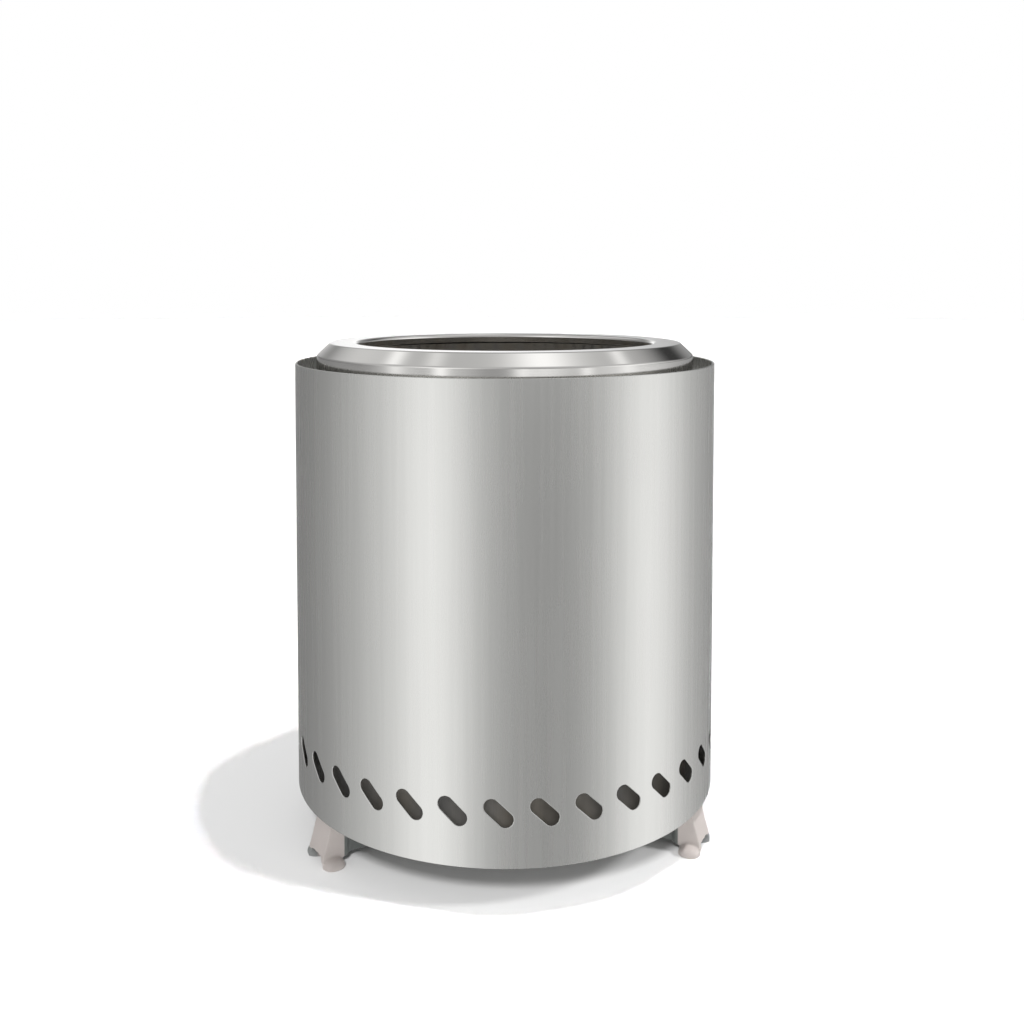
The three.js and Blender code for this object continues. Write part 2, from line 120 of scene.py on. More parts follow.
@dataclass(frozen=True)
class Extent:
    """The reach of one round CAD node, measured from its box."""

    x: float
    y: float
    radius: float
    bottom: float
    top: float

    @classmethod
    def of(cls, node: str) -> "Extent":
        """Measure a CAD node from its lowest and its highest corner."""
        lo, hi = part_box(node)
        return cls(*((lo + hi) / 2).xy, (hi.y - lo.y) / 2, lo.z, hi.z)

    def side(self, rounding: float = 0.0) -> list[Bend]:
        """Return the outline of its upright side, with or without a rounded top."""
        return [Bend(self.radius, self.bottom), Bend(self.radius, self.top, rounding)]


@dataclass(frozen=True)
class Holes:
    """One row of round-ended holes around a wall, the first half a step right of the front."""

    count: int
    length: float
    width: float
    band: float
    columns: int
    straight_cuts: int = 0
    slant: float = 0.0
    rings: int = 3
    height: float = 0.0

    def at(self, height: float) -> "Holes":
        """Return the same row at a height."""
        return replace(self, height=height)


class Nodes:
    """A node tree that is being put together."""

    def __init__(self, tree: bpy.types.NodeTree) -> None:
        """Start from an empty tree."""
        self.tree = tree
        tree.nodes.clear()

    def add(self, kind: str, *values: Feed, **settings: object) -> bpy.types.Node:
        """Add a node.

        Args:
            kind: the node's type.
            values: what goes into its first inputs, in order.
            settings: its properties by name.

        Returns:
            The new node.
        """
        node = self.tree.nodes.new(kind)
        for name, value in settings.items():
            setattr(node, name, value)
        for socket, value in zip(node.inputs, values):
            self.feed(socket, value)
        return node

    def feed(self, socket: Socket, value: Feed) -> None:
        """Give a socket a link or a plain value.

        Args:
            socket: the input.
            value: another node's output, a number, a tuple or a vector.
        """
        if isinstance(value, bpy.types.NodeSocket):
            self.tree.links.new(value, socket)
        else:
            socket.default_value = value

    def math(self, operation: str, *values: Feed) -> Socket:
        """Work out one number."""
        return self.add("ShaderNodeMath", *values, operation=operation).outputs[0]

    def times(self, one: Feed, other: Feed) -> Socket:
        """Multiply two numbers."""
        return self.math("MULTIPLY", one, other)

    def vector(self, operation: str, *values: Feed) -> Socket:
        """Work out one vector."""
        return self.add("ShaderNodeVectorMath", *values, operation=operation).outputs[0]

    def dot(self, one: Feed, other: Feed) -> Socket:
        """Work out the dot product of two vectors."""
        return self.add("ShaderNodeVectorMath", one, other, operation="DOT_PRODUCT").outputs["Value"]

    def split(self, vector: Feed) -> Sequence[Socket]:
        """Take a vector apart into its X, Y and Z."""
        return self.add("ShaderNodeSeparateXYZ", vector).outputs[:]

    def remap(self, value: Feed, start: float, end: float, low: float = 0.0, high: float = 1.0) -> Socket:
        """Ease a number from a low to a high level, between its start and its end."""
        values = (value, start, end, low, high)
        return self.add("ShaderNodeMapRange", *values, interpolation_type="SMOOTHSTEP").outputs[0]

    def above_zero(self, value: Feed) -> Socket:
        """Change a number below zero for zero."""
        return self.math("MAXIMUM", value, 0.0)

    def mix(self, share: Feed, first: Feed, second: Feed) -> Socket:
        """Mix two numbers, by the share of the second."""
        return self.math("ADD", first, self.times(self.math("SUBTRACT", second, first), share))

    def total(self, first: Feed, *others: Feed) -> Socket:
        """Add numbers up."""
        return reduce(partial(self.math, "ADD"), others, first)


class Shader(Nodes):
    """A material that is being put together, on the piece's own object coordinates."""

    def __init__(self, slot: Slot, roughness: float, metallic: float) -> None:
        """Start a material from its slot's colour.

        Args:
            slot: the material slot.
            roughness: how rough the surface is.
            metallic: 1 for bare metal and 0 for a coating.
        """
        self.material = bpy.data.materials.new(slot.value)
        self.material.use_nodes = True
        super().__init__(self.material.node_tree)
        self.surface = self.add("ShaderNodeBsdfPrincipled")
        self.add("ShaderNodeOutputMaterial", self.surface.outputs[0])
        self.place = self.add("ShaderNodeTexCoord").outputs["Object"]
        self.set("Roughness", roughness)
        self.set("Metallic", metallic)
        rows = {row["slot"]: row for row in frame["record"]["materials"]}
        self.colour = tuple(rows[slot.value]["base_color"])
        self.set("Base Color", self.shade(1.0))

    def set(self, name: str, value: Feed) -> None:
        """Feed one input of the surface."""
        self.feed(self.surface.inputs[name], value)

    def shade(self, share: float) -> Numbers:
        """Return the slot's colour, darkened or lightened by a share."""
        return (*(channel * share for channel in self.colour), 1.0)

    def texture(self, dimensions: str, *values: Feed) -> Socket:
        """Add a noise texture from its place, its place in 1-D, its scale and its detail."""
        return self.add("ShaderNodeTexNoise", *values, noise_dimensions=dimensions).outputs[0]

    def noise(self, size: Sequence[float], detail: float = PLAIN_DETAIL) -> Socket:
        """Add noise in object space, with blots of a size along X, Y and Z and finer layers."""
        place = self.vector("MULTIPLY", self.place, tuple(1 / length for length in size))
        return self.texture("3D", place, 0.0, 1.0, detail)

    def distance(self) -> Socket:
        """Return the distance from the stove's axis."""
        across = self.vector("MULTIPLY", self.place, WITHOUT_HEIGHT)
        return self.math("SQRT", self.dot(across, across))

    def rings(self, step: float, detail: float = PLAIN_DETAIL) -> Socket:
        """Add rings a step wide about the axis, as a spinning tool leaves them."""
        along = self.math("SUBTRACT", self.distance(), self.split(self.place)[2])
        return self.texture("1D", ORIGIN, along, 1 / step, detail)

    def blend(self, share: Feed, first: Feed, second: Feed) -> Socket:
        """Mix two colours.

        Args:
            share: the share of the second.
            first: the first colour.
            second: the second colour.

        Returns:
            The mixed colour's socket.
        """
        node = self.add("ShaderNodeMix", data_type="RGBA")
        sockets = [socket for socket in node.inputs if socket.enabled]
        for socket, value in zip(sockets, (share, first, second)):
            self.feed(socket, value)
        return next(socket for socket in node.outputs if socket.enabled)

    def tones(self, share: Feed, shades: Numbers) -> Socket:
        """Mix two shades of the slot's colour."""
        return self.blend(share, *(self.shade(shade) for shade in shades))

    def roughen(self, middle: float, layers: Sequence[Socket], weights: Numbers) -> None:
        """Vary the roughness by weighted layers, about the level where each is at a half."""
        start = middle - sum(weights) / 2
        self.set("Roughness", self.total(start, *map(self.times, layers, weights)))

    def emboss(self, height: Socket, depth: float) -> None:
        """Raise the surface's relief.

        Args:
            height: the relief, from 0 to 1.
            depth: how deep it is in metres.
        """
        node = self.add("ShaderNodeBump")
        self.feed(node.inputs["Height"], height)
        self.feed(node.inputs["Distance"], depth)
        self.set("Normal", node.outputs[0])

    def comb(self, anisotropy: float, turn: float) -> None:
        """Stretch the highlights across fine grooves.

        Args:
            anisotropy: how strongly.
            turn: 0 for upright grooves, and a quarter for grooves about the axis.
        """
        x, y, _ = self.split(self.place)
        around = self.add("ShaderNodeCombineXYZ", self.times(y, -1.0), x, 0.0).outputs[0]
        self.set("Tangent", self.vector("NORMALIZE", around))
        self.set("Anisotropic", anisotropy)
        self.set("Anisotropic Rotation", turn)


@dataclass(frozen=True)
class BrushedSteel:
    """The drum's stainless sheet, brushed up and down, with a welded seam at the back."""

    roughness: float = 0.27
    rough_weights: Numbers = (0.03, 0.04, 0.04)
    anisotropy: float = 0.5
    groove_turn: float = 0.0
    line: Numbers = (0.35 * MM, 0.35 * MM, 60 * MM)
    line_tones: Numbers = (0.97, 1.0)
    streak: Numbers = (2.6 * MM, 2.6 * MM, 160 * MM)
    streak_fade: Numbers = (0.3, 0.7)
    streak_tone: float = 1.02
    smudge: Numbers = (28 * MM, 28 * MM, 34 * MM)
    relief: float = 0.0005 * MM
    seam_width: float = 1.1 * MM
    seam_relief: float = 14.0
    seam_tone: float = 0.8

    def material(self) -> Material:
        """Build the material.

        Returns:
            The slot's material.
        """
        shader = Shader(Slot.BRUSHED, self.roughness, BARE_METAL)
        lines = shader.noise(self.line, FINE_DETAIL)
        streaks = shader.noise(self.streak)
        smudges = shader.noise(self.smudge)
        x, y, _ = shader.split(shader.place)
        near = shader.remap(shader.math("ABSOLUTE", x), self.seam_width / 2, self.seam_width, 1.0, 0.0)
        seam = shader.times(near, shader.math("GREATER_THAN", y, 0.0))
        shader.roughen(self.roughness, (lines, streaks, smudges), self.rough_weights)
        brushed = shader.tones(lines, self.line_tones)
        bright = shader.remap(streaks, *self.streak_fade)
        streaked = shader.blend(bright, brushed, shader.shade(self.streak_tone))
        shader.set("Base Color", shader.blend(seam, streaked, shader.shade(self.seam_tone)))
        shader.comb(self.anisotropy, self.groove_turn)
        shader.emboss(shader.total(lines, shader.times(seam, self.seam_relief)), self.relief)
        return shader.material


@dataclass(frozen=True)
class SpunSteel:
    """The fire ring's bright sheet, spun with fine rings about the axis."""

    roughness: float = 0.09
    rough_weights: Numbers = (0.04, 0.04)
    anisotropy: float = 0.4
    groove_turn: float = 0.25
    ring: float = 0.22 * MM
    ring_tones: Numbers = (0.94, 1.06)
    wave: float = 2.4 * MM
    wave_fade: Numbers = (0.35, 0.65)
    wave_tone: float = 1.0
    smudge: Numbers = (22 * MM, 22 * MM, 22 * MM)
    relief: float = 0.002 * MM

    def material(self) -> Material:
        """Build the material.

        Returns:
            The slot's material.
        """
        shader = Shader(Slot.SPUN, self.roughness, BARE_METAL)
        fine = shader.rings(self.ring, FINE_DETAIL)
        broad = shader.rings(self.wave)
        smudges = shader.noise(self.smudge)
        shader.roughen(self.roughness, (fine, smudges), self.rough_weights)
        tone = shader.tones(fine, self.ring_tones)
        waved = shader.remap(broad, *self.wave_fade)
        shader.set("Base Color", shader.blend(waved, tone, shader.shade(self.wave_tone)))
        shader.comb(self.anisotropy, self.groove_turn)
        shader.emboss(fine, self.relief)
        return shader.material


@dataclass(frozen=True)
class ChamberSteel:
    """Dull stainless near the fire, with straw and grey heat tints and a little soot."""

    roughness: float = 0.42
    rough_weights: Numbers = (0.1, 0.12, 0.1)
    bareness: float = 0.3
    grain: Numbers = (0.5 * MM, 0.5 * MM, 18 * MM)
    grain_tones: Numbers = (0.88, 1.12)
    cloud: Numbers = (22 * MM, 22 * MM, 44 * MM)
    soot: Numbers = (7 * MM, 7 * MM, 18 * MM)
    straw: Numbers = (0.5, 0.43, 0.33, 1.0)
    straw_fade: Numbers = (0.42, 0.7, 0.0, 0.4)
    blue_grey: Numbers = (0.31, 0.33, 0.36, 1.0)
    grey_fade: Numbers = (0.3, 0.46, 0.35, 0.0)
    soot_colour: Numbers = (0.15, 0.145, 0.14, 1.0)
    soot_fade: Numbers = (0.22, 0.45, 0.0, 0.45)
    relief: float = 0.006 * MM

    def material(self) -> Material:
        """Build the material.

        Returns:
            The slot's material.
        """
        shader = Shader(Slot.CHAMBER, self.roughness, self.bareness)
        grain = shader.noise(self.grain, FINE_DETAIL)
        clouds = shader.noise(self.cloud)
        spots = shader.noise(self.soot)
        base = shader.tones(grain, self.grain_tones)
        warm = shader.blend(shader.remap(clouds, *self.straw_fade), base, self.straw)
        cool = shader.blend(shader.remap(clouds, *self.grey_fade), warm, self.blue_grey)
        sooty = shader.remap(shader.times(spots, clouds), *self.soot_fade)
        shader.set("Base Color", shader.blend(sooty, cool, self.soot_colour))
        shader.roughen(self.roughness, (grain, clouds, spots), self.rough_weights)
        shader.emboss(grain, self.relief)
        return shader.material


@dataclass(frozen=True)
class PressedSteel:
    """Pressed sheet with a dull mill finish."""

    roughness: float = 0.45
    rough_weights: Numbers = (0.1, 0.12)
    bareness: float = 0.5
    grain: Numbers = (14 * MM, 0.6 * MM, 0.6 * MM)
    grain_tones: Numbers = (0.9, 1.1)
    cloud: Numbers = (24 * MM, 24 * MM, 24 * MM)
    cloud_fade: Numbers = (0.35, 0.65, 0.0, 0.4)
    cloud_tone: float = 0.85
    relief: float = 0.006 * MM

    def material(self) -> Material:
        """Build the material.

        Returns:
            The slot's material.
        """
        shader = Shader(Slot.PRESSED, self.roughness, self.bareness)
        grain = shader.noise(self.grain, FINE_DETAIL)
        clouds = shader.noise(self.cloud, FINE_DETAIL)
        tone = shader.tones(grain, self.grain_tones)
        dull = shader.remap(clouds, *self.cloud_fade)
        shader.set("Base Color", shader.blend(dull, tone, shader.shade(self.cloud_tone)))
        shader.roughen(self.roughness, (grain, clouds), self.rough_weights)
        shader.emboss(grain, self.relief)
        return shader.material


@dataclass(frozen=True)
class RivetSteel:
    """Satin rivets, washers and tubes."""

    roughness: float = 0.33
    rough_weights: Numbers = (0.08, 0.14)
    grain: Numbers = (0.3 * MM, 0.3 * MM, 0.3 * MM)
    wear: Numbers = (1.6 * MM, 1.6 * MM, 1.6 * MM)
    wear_tones: Numbers = (0.88, 1.1)
    relief: float = 0.004 * MM

    def material(self) -> Material:
        """Build the material.

        Returns:
            The slot's material.
        """
        shader = Shader(Slot.RIVET, self.roughness, BARE_METAL)
        grain = shader.noise(self.grain, FINE_DETAIL)
        wear = shader.noise(self.wear)
        shader.set("Base Color", shader.tones(wear, self.wear_tones))
        shader.roughen(self.roughness, (grain, wear), self.rough_weights)
        shader.emboss(grain, self.relief)
        return shader.material


@dataclass(frozen=True)
class StandCoating:
    """The stand's satin pinkish beige feet, with painted shade: grey steel on the rear toes and dark steel
    on the parts under the drum.
    """

    roughness: float = 0.42
    rough_weights: Numbers = (0.1, 0.05)
    specular: float = 0.6
    peel: Numbers = (0.45 * MM, 0.45 * MM, 0.45 * MM)
    cloud: Numbers = (7 * MM, 7 * MM, 7 * MM)
    cloud_tones: Numbers = (0.95, 1.05)
    speck: Numbers = (0.18 * MM, 0.18 * MM, 0.18 * MM)
    speck_fade: Numbers = (0.6, 0.72, 0.0, 0.3)
    speck_tone: float = 0.75
    wear_fade: Numbers = (0.53, 0.6, 0.0, 0.35)
    wear_tone: float = 1.18
    relief: float = 0.02 * MM
    # Painted shade: nearer the axis than this radius, under the drum, the arms are painted dark steel in
    # place of the coating.
    shade_radius: float = 82.4 * MM
    shade_blend_width: float = 0.5 * MM
    under_drum_shade: Numbers = (0.13, 0.142, 0.135, 1.0)
    # Painted shade: grey bare steel on the toes behind the front arms, darkened for the shade they stand
    # in.
    bare_steel_and_shade: Numbers = (0.3, 0.31, 0.305, 1.0)
    arm_turn: float = math.radians(60)
    toe_from: float = 3.4 * MM
    toe_to: float = 12 * MM
    toe_height: float = 4.0 * MM

    def shaded_rear_toes(self, shader: Shader) -> Socket:
        """Find the toes behind the front arms, which get grey bare steel darkened as painted shade.

        Args:
            shader: the material that is being put together.

        Returns:
            The share of grey steel with painted shade.
        """
        x, y, z = shader.split(shader.place)
        across = shader.times(shader.math("ABSOLUTE", x), math.cos(self.arm_turn))
        behind = shader.math("ADD", across, shader.times(y, math.sin(self.arm_turn)))
        outer = shader.remap(behind, self.toe_from, self.toe_from + self.shade_blend_width)
        inner = shader.math("LESS_THAN", behind, self.toe_to)
        low = shader.math("LESS_THAN", z, self.toe_height)
        return shader.times(outer, shader.times(inner, low))

    def material(self) -> Material:
        """Build the material.

        Returns:
            The slot's material.
        """
        shader = Shader(Slot.COATING, self.roughness, 0.0)
        peel = shader.noise(self.peel, SOFT_DETAIL)
        clouds = shader.noise(self.cloud, FINE_DETAIL)
        specks = shader.remap(shader.noise(self.speck), *self.speck_fade)
        point = shader.add("ShaderNodeNewGeometry").outputs["Pointiness"]
        wear = shader.remap(point, *self.wear_fade)
        tone = shader.tones(clouds, self.cloud_tones)
        speckled = shader.blend(specks, tone, shader.shade(self.speck_tone))
        coat = shader.blend(wear, speckled, shader.shade(self.wear_tone))
        # Painted shade: the rear toes take the dark grey steel colour, on top of the real edge wear.
        worn_and_shaded = shader.blend(self.shaded_rear_toes(shader), coat, self.bare_steel_and_shade)
        # Painted shade: nearer the axis than the radius above, under the drum, the colour turns to dark
        # steel.
        beyond_shade = shader.remap(shader.distance(), self.shade_radius - self.shade_blend_width, self.shade_radius)
        shader.set("Base Color", shader.blend(beyond_shade, self.under_drum_shade, worn_and_shaded))
        shader.roughen(self.roughness, (clouds, peel), self.rough_weights)
        shader.set("Specular IOR Level", self.specular)
        shader.emboss(peel, self.relief)
        return shader.material


Finishes = dict[Slot, Material]


def mixed_finishes() -> Finishes:
    """Build the material of every slot."""
    kinds = (BrushedSteel, SpunSteel, ChamberSteel, PressedSteel, RivetSteel, StandCoating)
    return {slot: kind().material() for slot, kind in zip(Slot, kinds)}


def poured(name: str, mesh: Mesh) -> bpy.types.Mesh:
    """Turn a bmesh into a plain mesh.

    Args:
        name: the plain mesh's name.
        mesh: the bmesh, which is used up.

    Returns:
        The plain mesh.
    """
    data = bpy.data.meshes.new(name)
    mesh.to_mesh(data)
    mesh.free()
    return data


def shown(name: str, data: bpy.types.ID) -> bpy.types.Object:
    """Put a new object into the scene.

    Args:
        name: its name.
        data: its mesh, lamp or lens.

    Returns:
        The object.
    """
    item = bpy.data.objects.new(name, data)
    bpy.context.scene.collection.objects.link(item)
    return item


def absorb(mesh: Mesh, other: Mesh) -> None:
    """Move one bmesh into another.

    Args:
        mesh: the one that grows.
        other: the one that is used up.
    """
    carrier = poured("carrier", other)
    mesh.from_mesh(carrier)
    bpy.data.meshes.remove(carrier)


def outline(bends: Sequence[Bend], facets: int, closed: bool = False) -> Mesh:
    """Draw a chain of edges in front of the axis, and round its corners.

    Args:
        bends: its points.
        facets: how many facets a rounded corner has.
        closed: whether the last point joins the first.

    Returns:
        The chain.
    """
    mesh = bmesh.new()
    verts = [mesh.verts.new((0.0, -bend.radius, bend.height)) for bend in bends]
    following = verts[1:] + verts[:1] if closed else verts[1:]
    for near, far in zip(verts, following):
        mesh.edges.new((near, far))
    for vert, bend in zip(verts, bends):
        if bend.rounding:
            bmesh.ops.bevel(
                mesh,
                geom=[vert],
                offset=bend.rounding,
                offset_type="OFFSET",
                affect="VERTICES",
                segments=facets,
                profile=EVEN_PROFILE,
                material=KEEP_MATERIAL,
            )
    return mesh


def held(bends: Sequence[Bend], hold: float) -> list[Bend]:
    """Add a point beside both ends of every rounded corner, so that the flats shade flat.

    Args:
        bends: an outline whose ends aren't rounded.
        hold: how far from the rounding the points lie.

    Returns:
        The outline with the points.
    """
    line = []
    for index, bend in enumerate(bends):
        line.append(bend)
        if not bend.rounding:
            continue
        near, corner, far = (Vector((item.radius, item.height)) for item in bends[index - 1 : index + 2])
        sides = [corner + (other - corner).normalized() * (bend.rounding + hold) for other in (near, far)]
        line[-1:] = [Bend(*sides[0]), bend, Bend(*sides[1])]
    return line


def turned(bends: Sequence[Bend], segments: int, facets: int, closed: bool = False) -> Mesh:
    """Turn an outline all the way round the axis.

    Args:
        bends: the outline.
        segments: how many steps the turn has.
        facets: how many facets a rounded corner has.
        closed: whether the outline is a loop.

    Returns:
        The skin that it sweeps.
    """
    mesh = outline(bends, facets, closed)
    line = mesh.verts[:] + mesh.edges[:]
    turn = {"cent": ORIGIN, "axis": UP, "angle": FULL_TURN}
    bmesh.ops.spin(mesh, geom=line, steps=segments, use_merge=True, **turn)
    bmesh.ops.remove_doubles(mesh, verts=mesh.verts, dist=WELD_DISTANCE)
    bmesh.ops.recalc_face_normals(mesh, faces=mesh.faces)
    return mesh


def hole_cell(holes: Holes, pitch: float) -> Mesh:
    """Lay out the flat sheet around one hole.

    Args:
        holes: the row that it belongs to.
        pitch: the distance from hole to hole.

    Returns:
        The cell, X to the right as seen from outside and Y up, about the hole's middle.
    """
    cell = bmesh.new()
    size = Matrix.Diagonal((pitch / 2, holes.band / 2, 1.0, 1.0))
    columns = holes.columns
    bmesh.ops.create_grid(cell, x_segments=columns, y_segments=columns, size=1.0, matrix=size)
    inner = [vert for vert in cell.verts if not vert.is_boundary]
    bmesh.ops.delete(cell, geom=inner, context="VERTS")
    segments = len(cell.verts) - 2 * holes.straight_cuts
    half_step = Matrix.Rotation(FULL_TURN / segments / 2, 4, "Z")
    rim = bmesh.ops.create_circle(cell, radius=holes.width / 2, segments=segments, matrix=half_step)
    reach = (holes.length - holes.width) / 2
    for vert in rim["verts"]:
        vert.co.x += math.copysign(reach, vert.co.x)
    if holes.straight_cuts:
        edges = {edge for vert in rim["verts"] for edge in vert.link_edges}
        straight = [edge for edge in edges if edge.verts[0].co.x * edge.verts[1].co.x < 0]
        straight.sort(key=lambda edge: edge.verts[0].co.y)
        bmesh.ops.subdivide_edges(cell, edges=straight, cuts=holes.straight_cuts)
    near = [vert for vert in cell.verts if abs(vert.co.x) < holes.length / 2]
    loop = [vert for vert in near if abs(vert.co.y) < holes.width / 2]
    bmesh.ops.transform(cell, matrix=Matrix.Rotation(-holes.slant, 4, "Z"), verts=loop)
    bridge = bmesh.ops.bridge_loops(cell, edges=cell.edges[:])
    spokes = [edge for edge in bridge["edges"] if not edge.is_boundary]
    bmesh.ops.subdivide_edges(cell, edges=spokes, cuts=holes.rings)
    return cell


def pierced_band(holes: Holes, radius: float) -> Mesh:
    """Wrap a row of holes round a wall.

    Args:
        holes: the row.
        radius: the wall's radius.

    Returns:
        The band of sheet that the holes are in.
    """
    pitch = FULL_TURN * radius / holes.count
    band = hole_cell(holes, pitch)
    for vert in band.verts:
        angle = (vert.co.x + pitch / 2) / radius
        vert.co = (radius * math.sin(angle), -radius * math.cos(angle), holes.height + vert.co.y)
    first = band.verts[:] + band.edges[:] + band.faces[:]
    repeats = holes.count - 1
    turn = {"cent": ORIGIN, "axis": UP, "angle": FULL_TURN * repeats / holes.count}
    bmesh.ops.spin(band, geom=first, steps=repeats, use_duplicate=True, **turn)
    return band


def stretches(bends: Sequence[Bend], rows: Sequence[Holes]) -> list[list[Bend]]:
    """Cut an outline where rows of holes go round its upright wall.

    Args:
        bends: the outline.
        rows: the rows, from the lowest to the highest.

    Returns:
        The plain parts of the outline.
    """
    plain = [[]]
    for bend, following in zip(bends, [*bends[1:], bends[-1]]):
        plain[-1].append(bend)
        for holes in rows:
            if bend.radius == following.radius and bend.height < holes.height < following.height:
                plain[-1].append(Bend(bend.radius, holes.height - holes.band / 2))
                plain.append([Bend(bend.radius, holes.height + holes.band / 2)])
    return plain


def face_left(mesh: Mesh, start: Bend, end: Bend) -> None:
    """Make the faces look to the left of the outline that they came from.

    Args:
        mesh: one connected skin.
        start: the first point of its outline.
        end: the second one.
    """
    bmesh.ops.remove_doubles(mesh, verts=mesh.verts, dist=WELD_DISTANCE)
    bmesh.ops.recalc_face_normals(mesh, faces=mesh.faces)
    across = end.radius - start.radius
    rise = end.height - start.height
    middle = Vector((0.0, -(start.radius + end.radius) / 2, (start.height + end.height) / 2))
    nearest = min(mesh.faces, key=lambda face: (face.calc_center_median() - middle).length)
    outward = nearest.calc_center_median() * Vector(WITHOUT_HEIGHT)
    left = outward.normalized() * -rise + UP * across
    if nearest.normal.dot(left) < 0:
        bmesh.ops.reverse_faces(mesh, faces=mesh.faces)


@dataclass(frozen=True)
class Piece:
    """One dressed piece: the CAD node it stands for, the body it rides on and its finish."""

    node: str
    body: Body
    slot: Slot

    def publish(self, mesh: Mesh, finishes: Finishes) -> bpy.types.Object:
        """Make the piece's object from its bmesh.

        Args:
            mesh: the shape, which is used up.
            finishes: every slot's material.

        Returns:
            The new object.
        """
        data = poured(f"{self.node}_formed", mesh)
        data.shade_smooth()
        data.materials.append(finishes[self.slot])
        item = shown(f"{self.node}_formed", data)
        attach(item, self.body.value)
        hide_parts(self.node)
        LOG.info("%s: %d faces on %s", item.name, len(data.polygons), self.body.value)
        return item


def soften(item: bpy.types.Object, edge: float) -> None:
    """Round the sharp edges of a piece.

    Args:
        item: the piece.
        edge: how far from the edge the rounding starts.
    """
    bevel = item.modifiers.new("edges", "BEVEL")
    bevel.width = edge
    bevel.segments = EDGE_FACETS
    bevel.limit_method = "ANGLE"
    bevel.angle_limit = SHARP_ANGLE
    bevel.harden_normals = True


@dataclass
class SheetWork:
    """What the pieces of folded and spun sheet have in common."""

    finishes: Finishes
    body: Body
    segments: int = 288
    facets: int = 5
    edge: float = 0.22 * MM

    def sheet_piece(self, node: str, slot: Slot, bends: Sequence[Bend], sheet: float) -> None:
        """Build a plain sheet piece from its outline, with the sheet to the left of it."""
        mesh = turned(bends, self.segments, self.facets)
        self.finish(Piece(node, self.body, slot), mesh, bends, sheet)

    def pierced_piece(
        self, node: str, slot: Slot, bends: Sequence[Bend], rows: Sequence[Holes], sheet: float
    ) -> None:
        """Build a sheet piece with rows of holes round its upright wall.

        Args:
            node: the CAD node that it stands for.
            slot: its finish.
            bends: its outline, with the sheet to the left of it.
            rows: the rows of holes, from the lowest to the highest.
            sheet: its thickness.
        """
        plain = stretches(bends, rows)
        wall = plain[0][-1].radius
        mesh = bmesh.new()
        for holes in rows:
            absorb(mesh, pierced_band(holes, wall))
        for part in plain:
            absorb(mesh, turned(part, rows[0].count * rows[0].columns, self.facets))
        self.finish(Piece(node, self.body, slot), mesh, plain[0], sheet)

    def finish(self, piece: Piece, mesh: Mesh, bends: Sequence[Bend], sheet: float) -> None:
        """Publish a skin with its thickness and soft edges.

        Args:
            piece: what it stands for.
            mesh: the skin.
            bends: the outline that it starts with, with the sheet to the left of it.
            sheet: the thickness.
        """
        face_left(mesh, bends[0], bends[1])
        item = piece.publish(mesh, self.finishes)
        wall = item.modifiers.new("sheet", "SOLIDIFY")
        wall.thickness = sheet
        wall.offset = 1.0
        wall.use_even_offset = True
        soften(item, self.edge)


@dataclass
class Rivets:
    """The turned fasteners: rivets with bevelled heads, washers and tubes."""

    finishes: Finishes
    body: Body
    segments: int = 48
    facets: int = 3
    edge: float = 0.12 * MM

    def fastener(self, node: str, bends: Sequence[Bend], closed: bool = False) -> None:
        """Turn a fastener, move it to its node's middle and soften it.

        Args:
            node: the CAD node.
            bends: its outline.
            closed: whether the outline is a loop.
        """
        extent = Extent.of(node)
        mesh = turned(bends, self.segments, self.facets, closed)
        bmesh.ops.translate(mesh, verts=mesh.verts, vec=Vector((extent.x, extent.y, 0.0)))
        item = Piece(node, self.body, Slot.RIVET).publish(mesh, self.finishes)
        soften(item, self.edge)

    def rivet(self, node: str, shank: float, head_height: float, bevel: float) -> None:
        """Turn a rivet.

        Args:
            node: the CAD node.
            shank: the radius of its shank.
            head_height: the height of each head.
            bevel: the bevel around each head.
        """
        extent = Extent.of(node)
        head = extent.radius
        bends = []
        for end, height in ((extent.bottom, head_height), (extent.top, -head_height)):
            neck = end + height
            half = [Bend(0.0, end), Bend(head, end, bevel), Bend(head, neck), Bend(shank, neck)]
            bends += half if end < neck else reversed(half)
        self.fastener(node, bends)

    def collar(self, node: str, bore: float) -> None:
        """Turn a washer or tube with a hole of a given radius."""
        lower, upper = replace(Extent.of(node), radius=bore).side()
        self.fastener(node, [lower, *Extent.of(node).side(), upper], closed=True)


